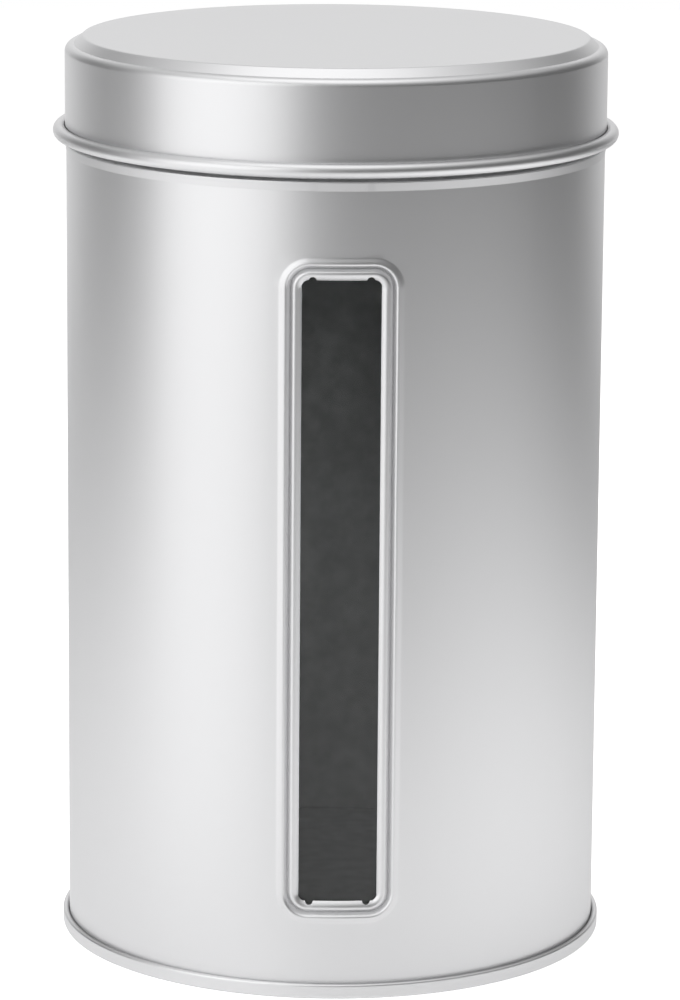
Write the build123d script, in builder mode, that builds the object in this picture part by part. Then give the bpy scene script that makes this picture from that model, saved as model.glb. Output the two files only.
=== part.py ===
"""Round tinplate storage tin with a slip lid and a tall clear window in its wall.

The tin stands on the seam ring of its bottom end, with its axis on +Z and its window facing
-Y. The origin is on the axis, level with the foot of the seam ring.
Each sheet piece is a line of bends, drawn as radius and height, that is given the sheet's
thickness and turned about the axis.
"""

import os
from math import isclose, radians, tan

from build123d import *

# Driving dimensions, in millimetres
body_radius = 52.5
total_height = 178.6
sheet = 0.3
overrun = 2.0

# Turn of each flat that a bend or a rolled edge is drawn with, in degrees
flat_turn = 45
full_turn = 360

# Lid: flat panel, sloping bevel, narrow shoulder, plain wall and a hem curled outwards
lid_overhang = 0.25
lid_height = 19.8
panel_inset = 3.55
bevel_width = 1.7
bevel_drop = 2.1
lid_corner_bend = 0.8
lid_curl = 2.65

# Mouth of the body: shoulder, neck inside the lid and a rim curled inwards
lid_fit = 0.45
lid_seat = 0.15
lid_gap = 0.6
shoulder_rise = 1.7
mouth_curl = 1.8

# Double seam between the body and the bottom end
seam_height = 2.9
seam_play = 0.12

# Bottom end: floor raised inside the body
floor_height = 8.0

# Side seam of the body, turned from the middle of its back so that the window doesn't show it
seam_turn = 35
fold_width = 4.0
fold_layers = 2
fold_end_gap = 1.5
seam_line_width = 0.3
seam_line_depth = 0.12

# Window: a groove round the opening, placed by its distances from the foot of the body and
# from the shoulder, with a raised ridge outside it and the rolled edge of the sheet inside it
slot_width = 19.3
slot_foot = 16.9
slot_head = 15.0
slot_corner = 3.8
groove_depth = 0.35
groove_lap = 0.05
ridge_width = 2.0
ridge_proud = 0.35
ridge_foot_run = 0.5
ridge_foot_fall = 0.3
ridge_groove_run = 0.85
roll_width = 2.2
roll_proud = 0.1
roll_depth = 0.8
roll_groove_run = 0.5
roll_edge_run = 0.6
roll_edge_fall = 0.5
opening_corner = 1.2
notch_margin = 0.1
notch_gap = 0.1

# Clear pane: a curved sheet behind the wall, held by a frame of bond outside the ridge
pane_margin = 5.0
pane_thickness = 0.5
pane_gap = 0.1
seal_play = 0.2
seal_film = 0.05

# Sizes of the lid and the mouth that follow from the ones above
body_inner_radius = body_radius - sheet
lid_radius = body_radius + lid_overhang
lid_inner_radius = lid_radius - sheet
panel_radius = lid_radius - panel_inset
lid_corner_height = total_height - bevel_drop
lid_curl_radius = lid_curl / 2
lid_curl_centre = lid_inner_radius + lid_curl_radius
lid_curl_height = total_height - lid_height + lid_curl_radius
neck_radius = lid_inner_radius - lid_fit
mouth_curl_radius = mouth_curl / 2
mouth_curl_centre = neck_radius - mouth_curl_radius
mouth_top = lid_corner_height - sheet - lid_seat
mouth_curl_height = mouth_top - mouth_curl_radius
shoulder_head = total_height - lid_height - lid_gap
shoulder_foot = shoulder_head - shoulder_rise

# Sizes of the double seam, from the body wall outwards
hook_step = sheet + 2 * seam_play
hook_radius = body_radius + hook_step
hook_foot = 2 * sheet + seam_play
hook_tip = seam_height - sheet - seam_play
end_wall_radius = body_inner_radius - seam_play
end_ring_radius = hook_radius + sheet + seam_play
end_hook_radius = end_ring_radius - hook_step
end_hook_tip = hook_foot + seam_play

# Sizes of the side seam's fold, clear of the floor and of the shoulder
fold_depth = fold_layers * sheet
fold_foot = floor_height + fold_end_gap
fold_length = shoulder_foot - fold_end_gap - fold_foot

# Sizes of the window, between the foot of the body and its shoulder
slot_height = shoulder_foot - slot_head - slot_foot
slot_middle = slot_foot + slot_height / 2
opening_width = slot_width - 2 * roll_width
opening_height = slot_height - 2 * roll_width
notch_radius = roll_edge_run + notch_margin
notch_inset = opening_corner + notch_gap + notch_radius
groove_radius = body_radius - groove_depth
ridge_radius = body_radius + ridge_proud
roll_radius = body_radius + roll_proud
roll_back_radius = body_radius - roll_depth
pane_front_radius = roll_back_radius - pane_gap
pane_back_radius = pane_front_radius - pane_thickness
seal_margin = ridge_width + seal_play
front_reach = ridge_radius + overrun

os.makedirs("parts", exist_ok=True)


def bend_points(start, corner, end, bend):
    """Points of a bend at a corner: its two tangent points and the flats between them."""
    before = (corner - start).normalized()
    after = (end - corner).normalized()
    turn = before.get_angle(after)
    side = 1 if before.cross(after).Z > 0 else -1
    tangent = corner - before * bend * tan(radians(turn / 2))
    centre = tangent + Vector(-before.Y, before.X) * bend * side
    flats = round(turn / flat_turn)
    spoke = tangent - centre
    return [
        centre + spoke.rotate(Axis.Z, side * turn * step / flats) for step in range(flats + 1)
    ]


def draw_strip(points, thickness):
    """Outline a strip of sheet: one face on the points, the other to the left of them."""
    points = [Vector(*point) for point in points]
    runs = [(end - start).normalized() for start, end in zip(points, points[1:])]
    sides = [Vector(-run.Y, run.X) for run in runs]
    far = [points[0] + sides[0] * thickness]
    for corner, before, after in zip(points[1:-1], sides, sides[1:]):
        far.append(corner + (before + after) * (thickness / (1 + before.dot(after))))
    far.append(points[-1] + sides[-1] * thickness)
    Polyline(*points, *reversed(far), close=True)


def draw_roll(centre, diameter):
    """Fill a rolled edge of the given diameter, drawn with flats."""
    with Locations(centre):
        RegularPolygon(
            diameter / 2, round(full_turn / flat_turn), rotation=flat_turn / 2, major_radius=False
        )


def window_outline(growth):
    """Outline of the slot, grown evenly all round, on the upright plane through the axis."""
    with BuildSketch(Plane.XZ) as outline:
        with Locations((0, slot_middle)):
            RectangleRounded(
                slot_width + 2 * growth, slot_height + 2 * growth, slot_corner + growth
            )
    return outline.sketch


def opening_outline():
    """Outline of the see-through opening, notched at both ends of its foot and its head."""
    with BuildSketch(Plane.XZ) as outline:
        with Locations((0, slot_middle)):
            RectangleRounded(opening_width, opening_height, opening_corner)
            with GridLocations(opening_width - 2 * notch_inset, opening_height, 2, 2):
                Circle(notch_radius)
    return outline.sketch


def on_opening(edge):
    """Whether an edge is one of the opening's four straight sides, seen from the front."""
    middle = edge.center()
    beside = isclose(abs(middle.X), opening_width / 2)
    level = isclose(abs(middle.Z - slot_middle), opening_height / 2)
    return (beside or level) and edge.length > notch_radius


def front_face(builder):
    """The face of the builder's part that lies furthest out through the window."""
    return builder.faces().sort_by(Axis.Y)[0]


def ring_outline(outer, inner):
    """Ring between two radii round the axis, on the ground plane."""
    with BuildSketch() as ring:
        Circle(outer)
        Circle(inner, mode=Mode.SUBTRACT)
    return ring.sketch


# Floor of the groove round the window
with BuildPart() as groove:
    extrude(ring_outline(groove_radius, roll_back_radius), amount=total_height)
    extrude(window_outline(ridge_width / 2), amount=front_reach, mode=Mode.INTERSECT)
    extrude(window_outline(-roll_groove_run), amount=front_reach, mode=Mode.SUBTRACT)

# Ridge outside the groove: it rises from the wall and runs down into the groove's floor
with BuildPart() as ridge:
    extrude(ring_outline(ridge_radius, roll_back_radius), amount=total_height)
    extrude(window_outline(ridge_width), amount=front_reach, mode=Mode.INTERSECT)
    extrude(window_outline(0), amount=front_reach, mode=Mode.SUBTRACT)
    face = front_face(ridge)
    edges = face.inner_wires()[0].edges()
    fall = ridge_radius - groove_radius + groove_lap
    chamfer(edges, length=ridge_groove_run, length2=fall, reference=face)
    face = front_face(ridge)
    edges = face.outer_wire().edges()
    chamfer(edges, length=ridge_foot_run, length2=ridge_foot_fall, reference=face)

# Rolled edge of the sheet inside the groove: it turns in all round but for the notches
with BuildPart() as rolled_edge:
    extrude(ring_outline(roll_radius, roll_back_radius), amount=total_height)
    extrude(window_outline(0), amount=front_reach, mode=Mode.INTERSECT)
    face = front_face(rolled_edge)
    edges = face.outer_wire().edges()
    fall = roll_radius - groove_radius + groove_lap
    chamfer(edges, length=roll_groove_run, length2=fall, reference=face)
    extrude(opening_outline(), amount=front_reach, mode=Mode.SUBTRACT)
    face = front_face(rolled_edge)
    edges = face.edges().filter_by(on_opening)
    chamfer(edges, length=roll_edge_run, length2=roll_edge_fall, reference=face)

# Fold of the side seam: layers of sheet lapped on the inside of the wall
with BuildPart() as side_fold:
    with BuildSketch(Plane.XY.offset(fold_foot)):
        add(ring_outline(body_inner_radius + sheet / 2, body_inner_radius - fold_depth))
        Rectangle(fold_width, body_radius, align=(Align.CENTER, Align.MIN), mode=Mode.INTERSECT)
    extrude(amount=fold_length)
    fillet(side_fold.edges().filter_by(Axis.Z).group_by(Axis.Y)[0], sheet)

# Body wall: hooked foot, plain wall, shoulder, neck and a mouth curled inwards
with BuildPart() as body_wall:
    with BuildSketch(Plane.XZ):
        with BuildLine():
            draw_strip(
                [
                    (hook_radius, hook_tip),
                    (hook_radius, hook_foot),
                    (body_radius, hook_foot),
                    (body_radius, shoulder_foot),
                    (neck_radius, shoulder_head),
                    (neck_radius, mouth_curl_height),
                ],
                sheet,
            )
        make_face()
        draw_roll((mouth_curl_centre, mouth_curl_height), mouth_curl)
    revolve(axis=Axis.Z)
    extrude(window_outline(ridge_width / 2), amount=front_reach, mode=Mode.SUBTRACT)
    add(groove.part)
    add(ridge.part)
    add(rolled_edge.part)
    add(side_fold.part, rotation=(0, 0, seam_turn))
    with BuildSketch(Plane.XY.offset(seam_height).rotated((0, 0, seam_turn))):
        with Locations((fold_width / 2, 0)):
            Rectangle(seam_line_width, front_reach, align=(Align.CENTER, Align.MIN))
        Circle(body_radius - seam_line_depth, mode=Mode.SUBTRACT)
    extrude(amount=shoulder_foot - seam_height, mode=Mode.SUBTRACT)

# Bottom end: floor, wall inside the body, seam ring and the hook that folds over
with BuildPart() as bottom_end:
    with BuildSketch(Plane.XZ):
        with BuildLine():
            draw_strip(
                [
                    (0, floor_height),
                    (end_wall_radius, floor_height),
                    (end_wall_radius, sheet),
                    (end_ring_radius, sheet),
                    (end_ring_radius, seam_height - sheet),
                    (end_hook_radius, seam_height - sheet),
                    (end_hook_radius, end_hook_tip),
                ],
                -sheet,
            )
        make_face()
    revolve(axis=Axis.Z)

# Window pane: clear sheet that follows the wall behind the rolled edge
with BuildPart() as window_pane:
    extrude(ring_outline(pane_front_radius, pane_back_radius), amount=total_height)
    extrude(window_outline(pane_margin), amount=front_reach, mode=Mode.INTERSECT)

# Window seal: frame of bond between the pane and the wall, round the ridge
with BuildPart() as window_seal:
    extrude(
        ring_outline(body_inner_radius - seal_film, pane_front_radius + seal_film),
        amount=total_height,
    )
    extrude(window_outline(pane_margin), amount=front_reach, mode=Mode.INTERSECT)
    extrude(window_outline(seal_margin), amount=front_reach, mode=Mode.SUBTRACT)

# Lid: panel, bevel, shoulder with a bent corner, wall and a hem curled outwards
bevel_foot = Vector(panel_radius + bevel_width, lid_corner_height)
corner = Vector(lid_radius, lid_corner_height)
rim = Vector(lid_radius, lid_curl_height)
shoulder = [bevel_foot, *bend_points(bevel_foot, corner, rim, lid_corner_bend)]
with BuildPart() as lid:
    with BuildSketch(Plane.XZ):
        with BuildLine():
            draw_strip([(0, total_height), (panel_radius, total_height), *shoulder, rim], -sheet)
        make_face()
        draw_roll((lid_curl_centre, lid_curl_height), lid_curl)
    revolve(axis=Axis.Z)

pieces = {
    "body_wall": body_wall,
    "bottom_end": bottom_end,
    "window_pane": window_pane,
    "window_seal": window_seal,
    "lid": lid,
}
for name, piece in pieces.items():
    piece.part.label = name
    export_step(piece.part, f"parts/{name}.step")
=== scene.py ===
"""Looks of a round tinplate tin with a slip lid and a tall clear window in its wall.

Each piece of the tin is an operator. The sheet pieces are lines of bends, drawn as radius and
height, that are given the sheet's thickness and turned about the tin's axis. The window's ridge,
its groove and the rolled edge of the sheet are rings that follow the groove's outline on the wall.
"""

from math import asin, ceil, cos, hypot, pi, radians, sin, sqrt, tan

import bmesh
import bpy
from bpy.props import FloatProperty, FloatVectorProperty, PointerProperty
from bpy.types import Operator, Panel, PropertyGroup
from mathutils import Matrix, Vector


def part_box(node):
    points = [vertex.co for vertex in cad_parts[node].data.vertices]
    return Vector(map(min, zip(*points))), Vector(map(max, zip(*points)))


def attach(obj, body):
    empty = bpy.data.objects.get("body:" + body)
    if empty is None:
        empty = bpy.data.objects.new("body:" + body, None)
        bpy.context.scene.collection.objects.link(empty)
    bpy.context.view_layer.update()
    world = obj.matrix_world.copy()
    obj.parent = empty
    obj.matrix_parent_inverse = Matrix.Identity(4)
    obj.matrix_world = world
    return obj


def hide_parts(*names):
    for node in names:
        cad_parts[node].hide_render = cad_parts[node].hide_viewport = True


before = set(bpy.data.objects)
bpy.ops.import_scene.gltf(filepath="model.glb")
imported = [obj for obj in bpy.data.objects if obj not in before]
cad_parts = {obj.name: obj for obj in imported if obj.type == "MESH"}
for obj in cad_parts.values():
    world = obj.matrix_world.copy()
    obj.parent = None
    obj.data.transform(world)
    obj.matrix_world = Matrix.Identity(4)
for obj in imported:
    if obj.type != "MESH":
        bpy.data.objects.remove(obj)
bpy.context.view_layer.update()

bl_info = {
    "name": "Window Tin",
    "version": (1, 0, 0),
    "blender": (4, 5, 0),
    "location": "View3D > Sidebar > Tin",
    "description": "Builds a round tinplate tin with a slip lid and a clear window",
    "category": "Add Mesh",
}

LID_LOW, LID_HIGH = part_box("lid")
WALL_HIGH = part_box("body_wall")[1]
END_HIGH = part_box("bottom_end")[1]

MM = 0.001
TURN = 2 * pi
NEAR = 0.001 * MM

# How finely the pieces are meshed
BEND_STEP = radians(9)
LEAST_BEND = radians(1)
ROUND_STEPS = 240
CORNER_STEPS = 30
EDGE_STEPS = 16
NOTCH_STEPS = 12
BEAD_STEPS = 8
SHARP_ANGLE = radians(20)

# How many notch radii the fine columns reach past a notch's middle
NOTCH_REACH = 1.2

# How many roll widths inside the groove the opening's edge is sought, and in how many halvings
OPENING_REACH = 1.5
OPENING_HALVINGS = 24

# Least part of a face's normal that counts as facing a way
FACING = 0.5

# Between which values most of a noise lies, and its steeper middle
NOISE_LOW, NOISE_HIGH = 0.3, 0.7
STEEP_LOW, STEEP_HIGH = 0.4, 0.6


def length(name, description, default):
    """A length in metres that the sidebar shows in the scene's unit."""
    return FloatProperty(
        name=name, description=description, default=default, min=0, precision=5, unit="LENGTH"
    )


def share(name, description, default):
    """A plain share between nothing and all."""
    return FloatProperty(
        name=name, description=description, default=default, min=0, max=1, subtype="FACTOR"
    )


def turn(name, description, default):
    """An angle that the sidebar shows in degrees."""
    return FloatProperty(
        name=name, description=description, default=radians(default), subtype="ANGLE"
    )


def power(name, description, default):
    """A lamp's power in watts."""
    return FloatProperty(name=name, description=description, default=default, min=0, unit="POWER")


def colour(name, description, default):
    """A colour without alpha."""
    return FloatVectorProperty(
        name=name, description=description, default=default, min=0, max=1, size=3, subtype="COLOR"
    )


def span(name, description, default):
    """A lowest and a highest share."""
    return FloatVectorProperty(
        name=name, description=description, default=default, min=0, max=1, size=2
    )


class BodySizes(PropertyGroup):
    """Sizes of the rolled body wall and of the bottom end seamed to it."""

    radius: length("Body radius", "Outside of the plain wall", 52.5 * MM)
    sheet: length("Sheet", "Thickness of the tinplate", 0.3 * MM)
    flare_foot: length("Flare foot", "Height where the wall turns outwards", 156.1 * MM)
    flare: length("Flare", "How far the wall turns outwards below the shoulder", 0.25 * MM)
    flare_bend: length("Flare bend", "Bend where the wall turns outwards", 1.0 * MM)
    shoulder_foot: length("Shoulder foot", "Height where the wall draws in", 157.8 * MM)
    shoulder_rise: length("Shoulder rise", "Height of the sloping shoulder", 0.6 * MM)
    shoulder_bend: length("Shoulder bend", "Bend at the shoulder's two edges", 0.3 * MM)
    neck_radius: length("Neck radius", "Outside of the neck in the lid", 52.0 * MM)
    mouth_curl: length("Mouth curl", "Diameter of the curled mouth", 1.8 * MM)
    mouth_curl_turn: turn("Mouth curl turn", "How far round the mouth curls", 290)
    seam_height: length("Seam height", "Height of the double seam", 2.9 * MM)
    seam_play: length("Seam play", "Gap between the layers of the seam", 0.12 * MM)
    seam_bend: length("Seam bend", "Inner bend at the seam's corners", 0.2 * MM)
    floor_bend: length("Floor bend", "Bend from the floor into its wall", 0.9 * MM)
    side_seam: turn("Side seam", "Turn of the side seam from the middle of the back", 35)
    fold_width: length("Fold width", "Width of the side seam's fold", 4.0 * MM)
    fold_depth: length("Fold depth", "How far the fold stands inwards", 0.6 * MM)
    fold_gap: length("Fold gap", "Space between the fold's ends and floor or shoulder", 1.5 * MM)
    line_width: length("Seam line width", "Width of the fine line outside", 0.3 * MM)
    line_floor: share("Seam line floor", "Share of the line's width that its floor takes", 0.6)
    line_depth: length("Seam line depth", "Depth of the fine line outside", 0.12 * MM)


class LidSizes(PropertyGroup):
    """Sizes of the drawn slip lid."""

    radius: length("Lid radius", "Outside of the lid's plain wall", 52.75 * MM)
    panel_radius: length("Panel radius", "Edge of the raised flat panel", 49.2 * MM)
    bevel_width: length("Bevel width", "Width of the slope round the panel", 1.8 * MM)
    bevel_drop: length("Bevel drop", "Height of the slope round the panel", 1.65 * MM)
    edge_bend: length("Edge bend", "Bend at the panel's edge", 0.45 * MM)
    foot_bend: length("Foot bend", "Bend at the slope's foot", 0.35 * MM)
    corner_bend: length("Corner bend", "Bend from the shoulder into the wall", 1.2 * MM)
    curl: length("Rim roll", "Diameter of the rim rolled outwards", 2.65 * MM)
    curl_turn: turn("Rim roll turn", "How far round the rim is rolled", 308)


class WindowSizes(PropertyGroup):
    """Sizes of the window: its ridge, groove and rolled edge, and the clear pane behind them."""

    width: length("Groove width", "Width between the groove's sides, straight across", 19.3 * MM)
    height: length("Groove height", "Height between the groove's foot and head", 124.6 * MM)
    middle: length("Window middle", "Height of the window's middle", 79.2 * MM)
    corner: length("Groove corner", "Radius of the groove's corners", 3.8 * MM)
    groove_depth: length("Groove depth", "How far the groove lies below the wall", 0.35 * MM)
    crease_width: length("Crease width", "Width of the groove's sharp crease", 0.5 * MM)
    crease_depth: length("Crease depth", "How far the crease lies below the wall", 0.75 * MM)
    ridge_width: length("Ridge width", "Width of the ridge outside the groove", 2.3 * MM)
    ridge_crest: length("Ridge crest", "How far outside the groove it is highest", 1.0 * MM)
    ridge_proud: length("Ridge height", "How far the ridge stands out", 0.35 * MM)
    roll_width: length("Roll width", "Width of the rolled edge inside the groove", 2.2 * MM)
    roll_crest: length("Roll crest", "How far inside the groove it is highest", 0.9 * MM)
    roll_proud: length("Roll height", "How far the rolled edge stands out", 0.1 * MM)
    roll_fall: length("Roll fall", "How far the rolled edge turns in", 0.75 * MM)
    roll_depth: length("Roll depth", "How far in the sheet's folded layers reach", 0.8 * MM)
    opening_corner: length("Opening corner", "Radius of the opening's corners", 1.2 * MM)
    notch_radius: length("Notch radius", "Radius of the notches in the edge", 0.7 * MM)
    notch_inset: length("Notch inset", "From the opening's side to a notch's middle", 2.0 * MM)
    patch: length("Patch", "Width of plain wall that is meshed with the window", 3.2 * MM)
    pane_margin: length("Pane margin", "How far the pane reaches past the groove", 5.0 * MM)
    pane_gap: length("Pane gap", "Gap between the rolled edge and the pane", 0.1 * MM)
    pane_thickness: length("Pane thickness", "Thickness of the clear sheet", 0.5 * MM)


class TinFinish(PropertyGroup):
    """Colours and finishes of the tin's materials."""

    tinplate: colour("Tinplate", "Colour of the satin tinplate", (0.88, 0.86, 0.83))
    dull: colour("Dull tinplate", "Colour of the sheet's duller grains", (0.66, 0.64, 0.615))
    # Painted shade: the inside's grey, with less metal, stands in for the shade in the closed tin.
    inside_shade: colour("Inside_shade", "Colour of the grey painted_shade inside the tin", (0.5, 0.5, 0.5))
    roughness: share("Tinplate roughness", "Mean roughness of the satin sheet", 0.18)
    roughness_change: share("Roughness change", "How far the grains' roughness differs", 0.04)
    grain: length("Grain", "Size of the sheet's fine grain", 0.8 * MM)
    grain_relief: length("Grain relief", "Depth of the sheet's fine grain", 0.018 * MM)
    grain_share: share("Grain share", "Part of the sheet's shade that is grain and not cloud", 0.8)
    cloud: length("Cloud", "Size of the faint clouds in the sheet", 14 * MM)
    mottle: length("Lining mottle", "Size of the lining's faint mottle", 3 * MM)
    inside_shade_metal: share("Lining metal", "How much of the metal shows in the lining", 0.8)
    inside_shade_roughness: span("Lining roughness", "Its lowest and highest roughness", (0.45, 0.55))
    pane: colour("Pane", "Tint of the clear plastic", (0.96, 0.98, 0.98))
    haze: length("Pane haze", "Size of the trace of haze in the clear plastic", 6 * MM)
    haze_tint: share("Haze tint", "Share of the pane's tint that is left in the haze", 0.98)
    pane_roughness: span("Pane roughness", "Its lowest and highest roughness", (0.02, 0.05))
    pane_index: FloatProperty(
        name="Pane index", description="Refraction of the clear plastic", default=1.35, min=1
    )
    bond: colour("Bond", "Colour of the bond behind the wall", (0.80, 0.80, 0.77))
    pits: length("Bond pits", "Size of the bond's fine pits", 0.8 * MM)
    pit_relief: length("Pit relief", "Depth of the bond's fine pits", 0.05 * MM)
    pit_strength: share("Pit strength", "How strongly the pits show", 0.4)
    bond_roughness: span("Bond roughness", "Its lowest and highest roughness", (0.5, 0.7))
    dark_share: share("Dark share", "Share of the colour left in dark parts of a mottle", 0.85)


class StageSettings(PropertyGroup):
    """Camera, floor, surroundings and lamps."""

    distance: length("Camera distance", "From the tin's axis to the camera", 0.96998)
    height: length("Camera height", "From the floor to the camera", 0.30189)
    azimuth: turn("Camera azimuth", "Turn of the camera round the tin", -1.5)
    pitch: turn("Camera pitch", "How far the camera looks down", 12.547)
    yaw: turn("Camera yaw", "How far the camera looks past the axis", 0.08)
    roll: turn("Camera roll", "Lean of the camera", 0.4358)
    lens: FloatProperty(
        name="Lens", description="Focal length of the lens", default=180.507, unit="CAMERA"
    )
    clip: length("Clip", "How near to the camera things show", 0.05)
    floor_size: length("Floor size", "Side of the square floor", 3.0)
    floor: colour("Floor", "Colour of the pale floor", (0.96, 0.96, 0.96))
    floor_roughness: share("Floor roughness", "Roughness of the pale floor", 0.9)
    # Painted shade: the floor's colour darkens outwards from a centre near the tin, standing in
    # for the lamps' light falling off.
    painted_floor_shade_left: length("Fade left", "How far left of the tin the floor's fade is centred", 0.1)
    painted_floor_shade_back: length("Fade back", "How far behind the tin the floor's fade is centred", 0.1)
    painted_floor_shade_start: length("Fade start", "Where the floor starts to darken", 0.3)
    painted_floor_shade_end: length("Fade end", "Where the floor is darkest", 0.9)
    fade: share("Fade", "Share of the floor's colour that is left there", 0.14)
    white_near: share("White near", "White that the camera sees added near the tin", 0.85)
    white_far: share("White far", "White that it sees added where the floor is darkest", 0.96)
    pool_core: length("Pool core", "How far a shining pool of the floor is at its brightest", 0.1)
    pool_reach: length("Pool reach", "How far a shining pool of the floor reaches", 0.45)
    right_pool: share("Right pool", "Light that metal mirrors from the floor on the right", 0.7)
    right_away: length("Right pool away", "How far right of the tin its middle is", 0.29)
    right_front: length("Right pool front", "How far before the tin its middle is", 0.13)
    left_pool: share("Left pool", "Light that metal mirrors from the floor on the left", 0.3)
    left_away: length("Left pool away", "How far left of the tin its middle is", 0.24)
    left_front: length("Left pool front", "How far before the tin its middle is", 0.12)
    backdrop: share("Backdrop", "Light that the far floor adds where metal mirrors it", 0.95)
    backdrop_start: length("Backdrop start", "How far behind the tin that light starts", 0.45)
    backdrop_full: length("Backdrop full", "How far behind the tin it is full", 0.9)
    back_start: share("Back start", "How nearly level and straight back the world lights up", 0.72)
    back_full: share("Back full", "How nearly level and straight back it is white", 0.88)
    above_start: share("Above start", "How nearly overhead the world brightens", 0.45)
    above_full: share("Above full", "How nearly overhead it is brightest", 0.9)
    world_low: share("World low", "Light of the world round the tin", 0.1)
    world_high: share("World high", "Light of the world above the tin", 0.9)
    aim: length("Lamp aim", "Height on the tin's axis that the lamps face", 0.09)
    top_side: length("Top softbox side", "Side of the square lamp above", 0.7)
    top_power: power("Top softbox power", "Power of the lamp above", 0.9)
    top_azimuth: turn("Top softbox azimuth", "Turn of the lamp above round the tin", -30)
    top_elevation: turn("Top softbox elevation", "Height of the lamp above as an angle", 78)
    top_distance: length("Top softbox distance", "From the aim to the lamp above", 0.85)
    left_width: length("Left softbox width", "Width of the lamp on the left", 0.74)
    left_height: length("Left softbox height", "Height of the lamp on the left", 0.6)
    left_power: power("Left softbox power", "Power of the lamp on the left", 1.9)
    left_azimuth: turn("Left softbox azimuth", "Turn of the left lamp round the tin", -49)
    left_elevation: turn("Left softbox elevation", "Height of the left lamp as an angle", 17)
    left_distance: length("Left softbox distance", "From the aim to the left lamp", 0.62)


# Lines of bends and the meshes that are made of them


def rounded(points, bends):
    """The line through the points, with each inner point rounded to its bend."""
    points = [Vector(point) for point in points]
    line = [points[0]]
    for before, corner, after, bend in zip(points, points[1:], points[2:], bends):
        back = (before - corner).normalized()
        ahead = (after - corner).normalized()
        bent = pi - back.angle(ahead)
        if not bend or bent < LEAST_BEND:
            line.append(corner)
            continue
        start = corner + back * bend * tan(bent / 2)
        centre = corner + (back + ahead).normalized() * bend / cos(bent / 2)
        side = 1 if back.cross(ahead) < 0 else -1
        line += arc(centre, start, side * bent)
    line.append(points[-1])
    return line


def arc(centre, start, angle):
    """Points on the arc from the start point round the centre."""
    centre, start = Vector(centre), Vector(start)
    steps = ceil(abs(angle) / BEND_STEP)
    return [
        centre + Matrix.Rotation(angle * step / steps, 2) @ (start - centre)
        for step in range(steps + 1)
    ]


def sheet_outline(line, thickness):
    """Closed outline of a sheet: one face on the line and the other to the left of it."""
    runs = [(end - start).normalized() for start, end in zip(line, line[1:])]
    sides = [Vector((-run.y, run.x)) for run in runs]
    far = [line[0] + sides[0] * thickness]
    for point, before, after in zip(line[1:-1], sides, sides[1:]):
        far.append(point + (before + after) * thickness / (1 + before.dot(after)))
    far.append(line[-1] + sides[-1] * thickness)
    return line + far[::-1]


def turned(outline, azimuths, keep=lambda row, column: True):
    """Points and faces of a closed outline turned about the axis, without the faces not kept."""
    rows, columns = len(outline), len(azimuths)
    points = [(r * sin(a), -r * cos(a), z) for r, z in outline for a in azimuths]
    faces = [
        (
            row * columns + column,
            row * columns + (column + 1) % columns,
            (row + 1) % rows * columns + (column + 1) % columns,
            (row + 1) % rows * columns + column,
        )
        for row in range(rows)
        for column in range(columns)
        if keep(row, column)
    ]
    return points, faces


def all_round():
    """Even azimuths round the axis."""
    return [TURN * step / ROUND_STEPS for step in range(ROUND_STEPS)]


def joined(*parts):
    """One list of points and one of faces from several."""
    points, faces = [], []
    for part_points, part_faces in parts:
        faces += [tuple(index + len(points) for index in face) for face in part_faces]
        points += part_points
    return points, faces


def line_faces(piece, material, lined):
    """Give another material to the faces whose middle and normal pass the test."""
    piece.data.materials.append(material)
    for face in piece.data.polygons:
        if lined(face.center, face.normal):
            face.material_index = 1


def make_piece(name, body, material, points, faces, nodes):
    """A smooth piece that rides on a body and stands for the named nodes."""
    mesh = bpy.data.meshes.new(name)
    mesh.from_pydata([tuple(point) for point in points], [], faces)
    shape = bmesh.new()
    shape.from_mesh(mesh)
    bmesh.ops.remove_doubles(shape, verts=shape.verts, dist=NEAR)
    bmesh.ops.recalc_face_normals(shape, faces=shape.faces)
    shape.to_mesh(mesh)
    shape.free()
    mesh.shade_smooth()
    mesh.set_sharp_from_angle(angle=SHARP_ANGLE)
    mesh.materials.append(material)
    piece = bpy.data.objects.new(name, mesh)
    bpy.context.scene.collection.objects.link(piece)
    normals = piece.modifiers.new("Even normals", "WEIGHTED_NORMAL")
    normals.keep_sharp = True
    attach(piece, body)
    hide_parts(*nodes)
    return piece


# Rings round the window on the curved wall


def across_shares(window):
    """Shares of the straight head's half width, left to right, close together at the notches."""
    half_width = window.width / 2 - window.corner
    notch = window.width / 2 - window.roll_width - window.notch_inset
    lip = (notch - NOTCH_REACH * window.notch_radius) / half_width
    fine = [1 - (1 - lip) * step / NOTCH_STEPS for step in range(NOTCH_STEPS)]
    coarse = [lip * (1 - 2 * step / EDGE_STEPS) for step in range(EDGE_STEPS + 1)]
    return [-part for part in fine + coarse] + fine[::-1]


def groove_columns(window):
    """Points on the groove's outline, as across and height, each with its way outwards."""
    half_width = window.width / 2 - window.corner
    half_height = window.height / 2 - window.corner
    columns = []
    for quarter, (side, end) in enumerate(((1, -1), (1, 1), (-1, 1), (-1, -1))):
        centre = Vector((side * half_width, window.middle + end * half_height))
        for step in range(CORNER_STEPS + 1):
            angle = pi / 2 * (quarter - 1 + step / CORNER_STEPS)
            out = Vector((cos(angle), sin(angle)))
            columns.append((centre + out * window.corner, out))
        if side == end:
            height = window.middle + end * window.height / 2
            for part in across_shares(window)[1:-1]:
                columns.append((Vector((-side * part * half_width, height)), Vector((0, end))))
    return columns


def in_opening(window, x, height):
    """Whether a place on the wall lies in the see-through opening or in one of its notches."""
    half_width = window.width / 2 - window.roll_width
    half_height = window.height / 2 - window.roll_width
    x, level = abs(x), abs(height - window.middle)
    notch = hypot(x - half_width + window.notch_inset, level - half_height)
    corner = window.opening_corner
    past = hypot(max(x - half_width + corner, 0), max(level - half_height + corner, 0))
    return notch < window.notch_radius or past < corner


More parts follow.
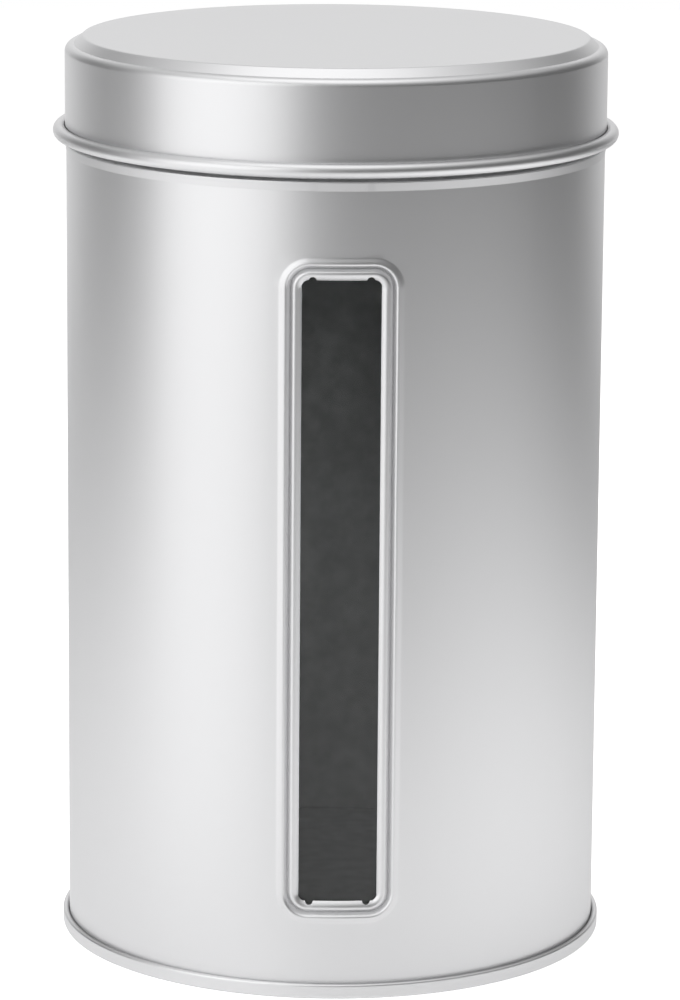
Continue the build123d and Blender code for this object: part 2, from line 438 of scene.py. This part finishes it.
def opening_growth(window, place, out):
    """How far from the groove's outline a column meets the opening, as a negative growth."""
    near, far = 0, -OPENING_REACH * window.roll_width
    for _ in range(OPENING_HALVINGS):
        middle = (near + far) / 2
        if in_opening(window, *(place + out * middle)):
            far = middle
        else:
            near = middle
    return near


def on_wall(place, radius):
    """Point at a place across the wall, on the given radius."""
    x, height = place
    return x, -sqrt(radius**2 - x**2), height


def window_ring(window, growth, radius):
    """Ring of points round the window, grown evenly from the groove's outline."""
    return [on_wall(place + out * growth, radius) for place, out in groove_columns(window)]


def opening_rings(window, section):
    """Rings for a section of growths and radii, none of them past the opening's edge."""
    columns = groove_columns(window)
    limits = [opening_growth(window, place, out) for place, out in columns]
    return [
        [
            on_wall(place + out * max(growth, limit), radius)
            for (place, out), limit in zip(columns, limits)
        ]
        for growth, radius in section
    ]


def patch_places(window):
    """Places on the edge of the upright rectangle of wall that is meshed with the window."""
    reach = window.corner + window.patch
    return [
        place - out * window.corner + out * reach / max(abs(out.x), abs(out.y))
        for place, out in groove_columns(window)
    ]


def patch_ring(body, window, radius):
    """Ring of points on the patch's edge, at azimuths that the outer face of the wall has too."""
    ring = []
    for x, height in patch_places(window):
        azimuth = asin(x / body.radius)
        ring.append((radius * sin(azimuth), -radius * cos(azimuth), height))
    return ring


def patch_lines(body, window):
    """Azimuths of the patch's columns and heights of its rows, each in rising order."""
    places = patch_places(window)
    high = max(place.y for place in places)
    right = max(place.x for place in places)
    azimuths = [asin(place.x / body.radius) for place in places if place.y > high - NEAR]
    return sorted(azimuths), sorted(place.y for place in places if place.x > right - NEAR)


def led_round(rings):
    """Points and faces of the bands between one closed ring of points and the next."""
    count = len(rings[0])
    points = [point for ring in rings for point in ring]
    faces = [
        (
            ring * count + step,
            ring * count + (step + 1) % count,
            (ring + 1) * count + (step + 1) % count,
            (ring + 1) * count + step,
        )
        for ring in range(len(rings) - 1)
        for step in range(count)
    ]
    return points, faces


def curved_field(window, growth, radius):
    """Points and faces of a curved field, whose outline is the groove's grown evenly."""
    right = [place + out * growth for place, out in groove_columns(window)]
    right = right[: 2 * CORNER_STEPS + 2]
    shares = across_shares(window)
    count = len(shares)
    points = [on_wall((x * part, height), radius) for x, height in right for part in shares]
    faces = [
        (
            row * count + step,
            row * count + step + 1,
            (row + 1) * count + step + 1,
            (row + 1) * count + step,
        )
        for row in range(len(right) - 1)
        for step in range(count - 1)
    ]
    return points, faces


# Materials


def new_material(name):
    """A node material with its shader, and the tree that it is in."""
    material = bpy.data.materials.new(name)
    material.use_nodes = True
    tree = material.node_tree
    return material, tree, tree.nodes["Principled BSDF"]


def noise(tree, size, detail):
    """Noise in the piece's own space, with features of about the given size."""
    place = tree.nodes.new("ShaderNodeTexCoord")
    texture = tree.nodes.new("ShaderNodeTexNoise")
    texture.inputs["Scale"].default_value = 1 / size
    texture.inputs["Detail"].default_value = detail
    tree.links.new(place.outputs["Object"], texture.inputs["Vector"])
    return texture.outputs["Fac"]


def spread(tree, value, low, high, start=NOISE_LOW, end=NOISE_HIGH):
    """The value brought from one range to another, from a noise's own range if none is given."""
    node = tree.nodes.new("ShaderNodeMapRange")
    node.inputs["From Min"].default_value = start
    node.inputs["From Max"].default_value = end
    node.inputs["To Min"].default_value = low
    node.inputs["To Max"].default_value = high
    tree.links.new(value, node.inputs["Value"])
    return node.outputs["Result"]


def combined(tree, operation, first, second):
    """One value of two, by the given operation."""
    node = tree.nodes.new("ShaderNodeMath")
    node.operation = operation
    tree.links.new(first, node.inputs[0])
    tree.links.new(second, node.inputs[1])
    return node.outputs[0]


def distance_from(tree, place, centre):
    """Distance of a place from a fixed centre."""
    node = tree.nodes.new("ShaderNodeVectorMath")
    node.operation = "DISTANCE"
    node.inputs[1].default_value = centre
    tree.links.new(place, node.inputs[0])
    return node.outputs["Value"]


def larger(tree, first, second):
    """The larger of two values."""
    return combined(tree, "MAXIMUM", first, second)


def multiplied(tree, first, second):
    """Two values multiplied."""
    return combined(tree, "MULTIPLY", first, second)


def blended(tree, factor, first, second):
    """A colour between two colours."""
    node = tree.nodes.new("ShaderNodeMix")
    node.data_type = "RGBA"
    node.inputs["A"].default_value = (*first, 1)
    node.inputs["B"].default_value = (*second, 1)
    tree.links.new(factor, node.inputs["Factor"])
    return node.outputs["Result"]


def darkened(tree, shader, mix, colour, dark):
    """The shader's colour, brought by the mix towards a darker share of itself."""
    darker = [tint * dark for tint in colour]
    tree.links.new(blended(tree, mix, colour, darker), shader.inputs["Base Color"])


def raised(tree, shader, height, distance, strength=1):
    """Fine relief on the shader's surface."""
    node = tree.nodes.new("ShaderNodeBump")
    node.inputs["Distance"].default_value = distance
    node.inputs["Strength"].default_value = strength
    tree.links.new(height, node.inputs["Height"])
    tree.links.new(node.outputs["Normal"], shader.inputs["Normal"])


def tinplate_material(finish):
    """Satin tinplate: fine grain in its colour, relief and roughness, and faint clouds."""
    material = bpy.data.materials.get("tinplate")
    if material:
        return material
    material, tree, shader = new_material("tinplate")
    grain = noise(tree, finish.grain, detail=2)
    cloud = noise(tree, finish.cloud, detail=3)
    fine = spread(tree, grain, 0, finish.grain_share, STEEP_LOW, STEEP_HIGH)
    shade = combined(tree, "ADD", fine, spread(tree, cloud, 0, 1 - finish.grain_share))
    tree.links.new(
        blended(tree, shade, finish.dull, finish.tinplate), shader.inputs["Base Color"]
    )
    dull, bright = (finish.roughness + side * finish.roughness_change for side in (1, -1))
    tree.links.new(spread(tree, shade, dull, bright, 0, 1), shader.inputs["Roughness"])
    shader.inputs["Metallic"].default_value = 1
    raised(tree, shader, grain, finish.grain_relief)
    return material


def inside_shade_material(finish):
    """Grey for the inside of the tin, a painted shade for the dark of the closed tin, with a faint
    mottle.
    """
    material = bpy.data.materials.get("inside_shade")
    if material:
        return material
    material, tree, shader = new_material("inside_shade")
    mottle = noise(tree, finish.mottle, detail=4)
    darkened(tree, shader, spread(tree, mottle, 0, 1), finish.inside_shade, finish.dark_share)
    tree.links.new(spread(tree, mottle, *finish.inside_shade_roughness), shader.inputs["Roughness"])
    shader.inputs["Metallic"].default_value = finish.inside_shade_metal
    return material


def pane_material(finish):
    """Clear plastic with a trace of haze that changes over its face."""
    material, tree, shader = new_material("clear_pane")
    haze = noise(tree, finish.haze, detail=2)
    darkened(tree, shader, spread(tree, haze, 0, 1), finish.pane, finish.haze_tint)
    tree.links.new(spread(tree, haze, *finish.pane_roughness), shader.inputs["Roughness"])
    shader.inputs["Transmission Weight"].default_value = 1
    shader.inputs["IOR"].default_value = finish.pane_index
    return material


def bond_material(finish):
    """Dull bond with fine pits and a mottled colour."""
    material, tree, shader = new_material("bond")
    pits = noise(tree, finish.pits, detail=4)
    darkened(tree, shader, spread(tree, pits, 0, 1), finish.bond, finish.dark_share)
    tree.links.new(spread(tree, pits, *finish.bond_roughness), shader.inputs["Roughness"])
    raised(tree, shader, pits, finish.pit_relief, finish.pit_strength)
    return material


# Pieces


def body_line(body, window):
    """Outer face of the body wall, from the hook in the seam to the mouth's curl."""
    hook_step = body.sheet + 2 * body.seam_play
    hook_radius = body.radius + hook_step
    hook_foot = 2 * body.sheet + body.seam_play
    hook_tip = body.seam_height - body.sheet - body.seam_play
    curl_radius = body.mouth_curl / 2
    curl_height = WALL_HIGH.z - curl_radius
    levels = patch_lines(body, window)[1]
    line = rounded(
        [
            (hook_radius, hook_tip),
            (hook_radius, hook_foot),
            (body.radius, hook_foot),
            (body.radius, body.seam_height),
            *[(body.radius, level) for level in levels],
            (body.radius, body.flare_foot),
            (body.radius + body.flare, body.shoulder_foot),
            (body.neck_radius, body.shoulder_foot + body.shoulder_rise),
            (body.neck_radius, curl_height),
        ],
        [
            *[body.seam_bend] * 2,
            *[0] * (len(levels) + 1),
            body.flare_bend,
            *[body.shoulder_bend] * 2,
        ],
    )
    centre = (body.neck_radius - curl_radius, curl_height)
    return line[:-1] + arc(centre, line[-1], body.mouth_curl_turn)


def wall_azimuths(body, window):
    """Azimuths of the wall's columns, the patch's first, and those of the seam line's floor."""
    across = patch_lines(body, window)[0]
    line_middle = pi - body.side_seam - body.fold_width / 2 / body.radius
    half_line = body.line_width / 2 / body.radius
    line = [line_middle + half_line * at for at in (-1, -body.line_floor, body.line_floor, 1)]
    edge = across[-1]
    rest = [edge + (TURN - 2 * edge) * step / ROUND_STEPS for step in range(1, ROUND_STEPS)]
    rest = [a for a in rest if abs(a - line_middle) > 2 * half_line]
    return across + sorted(rest + line), line[1:3]


def wall_mesh(body, window):
    """Body wall turned about the axis, open at the window's patch, with its seam's line."""
    line = body_line(body, window)
    outline = sheet_outline(line, body.sheet)
    across, levels = patch_lines(body, window)
    azimuths, groove = wall_azimuths(body, window)
    heights = [point.y for point in outline]

    def keep(row, column):
        low, high = sorted((heights[row], heights[(row + 1) % len(outline)]))
        beside = low > levels[0] - NEAR and high < levels[-1] + NEAR
        return not (beside and column < len(across) - 1)

    points, faces = turned(outline, azimuths, keep)
    radius = body.radius - body.line_depth
    for row in range(len(line)):
        plain = body.seam_height <= heights[row] <= body.flare_foot
        if plain and abs(outline[row].x - body.radius) < NEAR:
            for azimuth in groove:
                points[row * len(azimuths) + azimuths.index(azimuth)] = (
                    radius * sin(azimuth),
                    -radius * cos(azimuth),
                    heights[row],
                )
    return points, faces


def fold_mesh(body):
    """Fold of the side seam: a flat bar on the inside of the wall with rounded edges."""
    inner = body.radius - body.sheet
    half = body.fold_width / 2
    low = END_HIGH.z + body.fold_gap
    high = body.flare_foot - body.fold_gap
    depth = inner - body.fold_depth
    section = rounded(
        [
            (half, inner + body.sheet / 2),
            (half, depth),
            (-half, depth),
            (-half, inner + body.sheet / 2),
        ],
        [body.sheet, body.sheet],
    )
    place = Matrix.Rotation(body.side_seam, 3, "Z")
    count = len(section)
    points = [place @ Vector((x, y, z)) for z in (low, high) for x, y in section]
    faces = [
        (step, (step + 1) % count, count + (step + 1) % count, count + step)
        for step in range(count)
    ]
    faces += [tuple(range(count)), tuple(range(2 * count - 1, count - 1, -1))]
    return points, faces


def window_mesh(body, window):
    """Wall round the window: plain patch, ridge, groove, and the sheet's edge rolled inwards."""
    wall = body.radius
    floor = wall - window.groove_depth
    crest = wall + window.ridge_proud
    roll = wall + window.roll_proud
    inner = wall - window.roll_depth
    steps = [step / BEAD_STEPS for step in range(BEAD_STEPS + 1)]
    section = []
    for along in steps:
        growth = window.ridge_width + (window.ridge_crest - window.ridge_width) * along
        section.append((growth, wall + (crest - wall) * (1 - cos(pi * along)) / 2))
    lip = window.crease_width / 2
    for along in steps[1:]:
        growth = window.ridge_crest + (lip - window.ridge_crest) * along
        section.append((growth, crest - (crest - floor) * (1 - cos(pi / 2 * along))))
    section.append((0, wall - window.crease_depth))
    for along in steps:
        growth = -lip - (window.roll_crest - lip) * along
        section.append((growth, roll - (roll - floor) * (1 - along) ** 2))
    for along in steps[1:]:
        growth = (window.roll_crest - window.roll_width) * along - window.roll_crest
        section.append((growth, roll - window.roll_fall * along**2))
    section += [
        (-window.roll_width, inner),
        (window.ridge_width, inner),
        (window.ridge_width, wall - body.sheet),
    ]
    outer, back = patch_ring(body, window, wall), patch_ring(body, window, wall - body.sheet)
    return led_round([outer, *opening_rings(window, section), back])


class TIN_OT_body_wall(Operator):
    """Make the rolled body wall with its window's edge, side seam, shoulder and curled mouth"""

    bl_idname = "tin.body_wall"
    bl_label = "Body Wall"

    def execute(self, context):
        scene = context.scene
        body, window = scene.tin_body, scene.tin_window
        points, faces = joined(
            wall_mesh(body, window), fold_mesh(body), window_mesh(body, window)
        )
        piece = make_piece(
            "body_wall_sheet",
            "canister",
            tinplate_material(scene.tin_finish),
            points,
            faces,
            ["body_wall"],
        )

        def inside(middle, normal):
            towards_axis = -(normal.x * middle.x + normal.y * middle.y) / body.radius
            beside = END_HIGH.z < middle.z < WALL_HIGH.z - body.mouth_curl
            return towards_axis > FACING and beside

        # Painted shade: the faces towards the axis get the inside's grey, for the shade in the
        # closed tin.
        line_faces(piece, inside_shade_material(scene.tin_finish), inside)
        return {"FINISHED"}


class TIN_OT_bottom_end(Operator):
    """Make the bottom end with its raised floor and the seam ring folded over the wall's foot"""

    bl_idname = "tin.bottom_end"
    bl_label = "Bottom End"

    def execute(self, context):
        scene = context.scene
        body = scene.tin_body
        sheet, play = body.sheet, body.seam_play
        hook_step = sheet + 2 * play
        wall_radius = body.radius - sheet - play
        ring_radius = body.radius + hook_step + sheet + play
        top = body.seam_height - sheet
        line = rounded(
            [
                (0, END_HIGH.z),
                (wall_radius, END_HIGH.z),
                (wall_radius, sheet),
                (ring_radius, sheet),
                (ring_radius, top),
                (ring_radius - hook_step, top),
                (ring_radius - hook_step, 2 * (sheet + play)),
            ],
            [body.floor_bend, *[body.seam_bend] * 4],
        )
        points, faces = turned(sheet_outline(line, -sheet), all_round())
        piece = make_piece(
            "bottom_end_sheet",
            "canister",
            tinplate_material(scene.tin_finish),
            points,
            faces,
            ["bottom_end"],
        )

        def on_floor(middle, normal):
            return normal.z > FACING and middle.z > END_HIGH.z - body.floor_bend

        # Painted shade: the bottom end's upper face gets the inside's grey, for the shade in the
        # closed tin.
        line_faces(piece, inside_shade_material(scene.tin_finish), on_floor)
        return {"FINISHED"}


class TIN_OT_lid(Operator):
    """Make the slip lid with its raised panel, slope, shoulder, wall and rolled rim"""

    bl_idname = "tin.lid"
    bl_label = "Lid"

    def execute(self, context):
        scene = context.scene
        lid, sheet = scene.tin_lid, scene.tin_body.sheet
        top = LID_HIGH.z
        shoulder = top - lid.bevel_drop
        inner = lid.radius - sheet
        curl_radius = lid.curl / 2
        curl_height = LID_LOW.z + curl_radius
        line = rounded(
            [
                (0, top - sheet),
                (lid.panel_radius - sheet / 2, top - sheet),
                (lid.panel_radius + lid.bevel_width - sheet / 2, shoulder - sheet),
                (inner, shoulder - sheet),
                (inner, curl_height),
            ],
            [lid.edge_bend, lid.foot_bend, lid.corner_bend],
        )
        line = line[:-1] + arc((inner + curl_radius, curl_height), line[-1], lid.curl_turn)
        points, faces = turned(sheet_outline(line, sheet), all_round())
        make_piece(
            "lid_sheet",
            "lid",
            tinplate_material(scene.tin_finish),
            points,
            faces,
            ["lid"],
        )
        return {"FINISHED"}


class TIN_OT_window_pane(Operator):
    """Make the clear pane, a sheet that follows the wall behind the window's rolled edge"""

    bl_idname = "tin.window_pane"
    bl_label = "Window Pane"

    def execute(self, context):
        scene = context.scene
        body, window = scene.tin_body, scene.tin_window
        front = body.radius - window.roll_depth - window.pane_gap
        back = front - window.pane_thickness
        margin = window.pane_margin
        points, faces = joined(
            curved_field(window, margin, front),
            led_round([window_ring(window, margin, radius) for radius in (front, back)]),
            curved_field(window, margin, back),
        )
        make_piece(
            "window_pane_clear",
            "canister",
            pane_material(scene.tin_finish),
            points,
            faces,
            ["window_pane"],
        )
        return {"FINISHED"}


class TIN_OT_window_seal(Operator):
    """Finish the bonding frame between the pane and the wall"""

    bl_idname = "tin.window_seal"
    bl_label = "Window Seal"

    def execute(self, context):
        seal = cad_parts["window_seal"]
        seal.data.materials.clear()
        seal.data.materials.append(bond_material(context.scene.tin_finish))
        return {"FINISHED"}


# Stage


def add_lamp(name, size, watts, azimuth, elevation, distance, aim):
    """A soft lamp at the given angles and distance from a height on the axis, facing it."""
    lamp = bpy.data.lights.new(name, "AREA")
    lamp.shape = "RECTANGLE"
    lamp.size, lamp.size_y = size
    lamp.energy = watts
    spot = bpy.data.objects.new(name, lamp)
    away = Vector(
        (sin(azimuth) * cos(elevation), -cos(azimuth) * cos(elevation), sin(elevation))
    )
    spot.location = Vector((0, 0, aim)) + away * distance
    spot.rotation_euler = away.to_track_quat("Z", "Y").to_euler()
    spot.visible_camera = False
    bpy.context.scene.collection.objects.link(spot)


def parts_of(tree, vector):
    """The outputs of a vector's three parts."""
    node = tree.nodes.new("ShaderNodeSeparateXYZ")
    tree.links.new(vector, node.inputs["Vector"])
    return node.outputs


def mirrored_light(tree, stage, place):
    """Light of the floor in metal and glass: a backdrop behind the tin and a pool on each side."""
    behind = spread(
        tree,
        parts_of(tree, place)["Y"],
        0,
        stage.backdrop,
        stage.backdrop_start,
        stage.backdrop_full,
    )
    right = distance_from(tree, place, (stage.right_away, -stage.right_front, 0))
    left = distance_from(tree, place, (-stage.left_away, -stage.left_front, 0))
    pools = larger(
        tree,
        spread(tree, right, stage.right_pool, 0, stage.pool_core, stage.pool_reach),
        spread(tree, left, stage.left_pool, 0, stage.pool_core, stage.pool_reach),
    )
    return larger(tree, behind, pools)


def floor_material(stage):
    """Pale floor whose colour is darkened outwards as painted shade, white to the camera but for
    the shadow near the tin.
    """
    material, tree, shader = new_material("pale_floor")
    shader.inputs["Roughness"].default_value = stage.floor_roughness
    shader.inputs["Specular IOR Level"].default_value = 0
    shader.inputs["Emission Color"].default_value = (1, 1, 1, 1)
    place = tree.nodes.new("ShaderNodeTexCoord").outputs["Object"]
    # Painted shade: the floor's colour is darkened with distance from a centre near the tin.
    away = distance_from(tree, place, (-stage.painted_floor_shade_left, stage.painted_floor_shade_back, 0))
    fade = spread(tree, away, 0, 1, stage.painted_floor_shade_start, stage.painted_floor_shade_end)
    darkened(tree, shader, fade, stage.floor, stage.fade)
    path = tree.nodes.new("ShaderNodeLightPath").outputs
    white = spread(tree, fade, stage.white_near, stage.white_far, 0, 1)
    seen = multiplied(tree, path["Is Camera Ray"], white)
    bent = larger(tree, path["Is Glossy Ray"], path["Is Transmission Ray"])
    mirrored = multiplied(tree, bent, mirrored_light(tree, stage, place))
    tree.links.new(larger(tree, seen, mirrored), shader.inputs["Emission Strength"])
    return material


def make_world(stage):
    """White to the camera and through glass; to metal a white back, bright top and dim front."""
    world = bpy.data.worlds.new("studio")
    bpy.context.scene.world = world
    world.use_nodes = True
    tree = world.node_tree
    background = tree.nodes["Background"]
    background.inputs["Color"].default_value = (1, 1, 1, 1)
    way = parts_of(tree, tree.nodes.new("ShaderNodeTexCoord").outputs["Generated"])
    back = spread(tree, way["Y"], 0, 1, stage.back_start, stage.back_full)
    above = spread(
        tree, way["Z"], stage.world_low, stage.world_high, stage.above_start, stage.above_full
    )
    path = tree.nodes.new("ShaderNodeLightPath").outputs
    seen = larger(tree, path["Is Camera Ray"], path["Is Transmission Ray"])
    lit = larger(tree, larger(tree, back, above), seen)
    tree.links.new(lit, background.inputs["Strength"])


class TIN_OT_stage(Operator):
    """Make the pale floor, the white surroundings, the soft lamps and the camera"""

    bl_idname = "tin.stage"
    bl_label = "Stage"

    def execute(self, context):
        scene = context.scene
        stage = scene.tin_stage
        bpy.ops.mesh.primitive_plane_add(size=stage.floor_size)
        floor = context.object
        floor.name = "floor"
        floor.data.materials.append(floor_material(stage))
        make_world(stage)
        add_lamp(
            "top_softbox",
            (stage.top_side, stage.top_side),
            stage.top_power,
            stage.top_azimuth,
            stage.top_elevation,
            stage.top_distance,
            stage.aim,
        )
        add_lamp(
            "left_softbox",
            (stage.left_width, stage.left_height),
            stage.left_power,
            stage.left_azimuth,
            stage.left_elevation,
            stage.left_distance,
            stage.aim,
        )
        self.add_camera(scene, stage)
        scene.view_settings.view_transform = "Standard"
        return {"FINISHED"}

    def add_camera(self, scene, stage):
        """Camera of the given lens, turned round the tin and looking down at it."""
        camera = bpy.data.cameras.new("camera")
        camera.lens = stage.lens
        camera.clip_start = stage.clip
        holder = bpy.data.objects.new("camera", camera)
        round_tin = Matrix.Rotation(stage.azimuth, 4, "Z")
        stand = Matrix.Translation((0, -stage.distance, stage.height))
        look = (
            Matrix.Rotation(-stage.yaw, 4, "Z")
            @ Matrix.Rotation(pi / 2 - stage.pitch, 4, "X")
            @ Matrix.Rotation(stage.roll, 4, "Z")
        )
        holder.matrix_world = round_tin @ stand @ look
        scene.collection.objects.link(holder)
        scene.camera = holder


class TIN_PT_sidebar(Panel):
    """Lists the tin's pieces and its stage"""

    bl_idname = "TIN_PT_sidebar"
    bl_label = "Window Tin"
    bl_space_type = "VIEW_3D"
    bl_region_type = "UI"
    bl_category = "Tin"

    def draw(self, context):
        for operator in OPERATORS:
            self.layout.operator(operator.bl_idname)
        for name in PROPERTIES:
            group = getattr(context.scene, name)
            box = self.layout.box()
            for field in group.__annotations__:
                box.prop(group, field)


OPERATORS = (
    TIN_OT_body_wall,
    TIN_OT_bottom_end,
    TIN_OT_lid,
    TIN_OT_window_pane,
    TIN_OT_window_seal,
    TIN_OT_stage,
)
PROPERTIES = {
    "tin_body": BodySizes,
    "tin_lid": LidSizes,
    "tin_window": WindowSizes,
    "tin_finish": TinFinish,
    "tin_stage": StageSettings,
}


def register():
    for group in (*PROPERTIES.values(), *OPERATORS, TIN_PT_sidebar):
        bpy.utils.register_class(group)
    for name, group in PROPERTIES.items():
        setattr(bpy.types.Scene, name, PointerProperty(type=group))


def unregister():
    for name in PROPERTIES:
        delattr(bpy.types.Scene, name)
    for group in reversed((*PROPERTIES.values(), *OPERATORS, TIN_PT_sidebar)):
        bpy.utils.unregister_class(group)


def main():
    """Registers the add-on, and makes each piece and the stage."""
    register()
    bpy.ops.tin.body_wall()
    bpy.ops.tin.bottom_end()
    bpy.ops.tin.lid()
    bpy.ops.tin.window_pane()
    bpy.ops.tin.window_seal()
    bpy.ops.tin.stage()


if __name__ == "__main__":
    main()
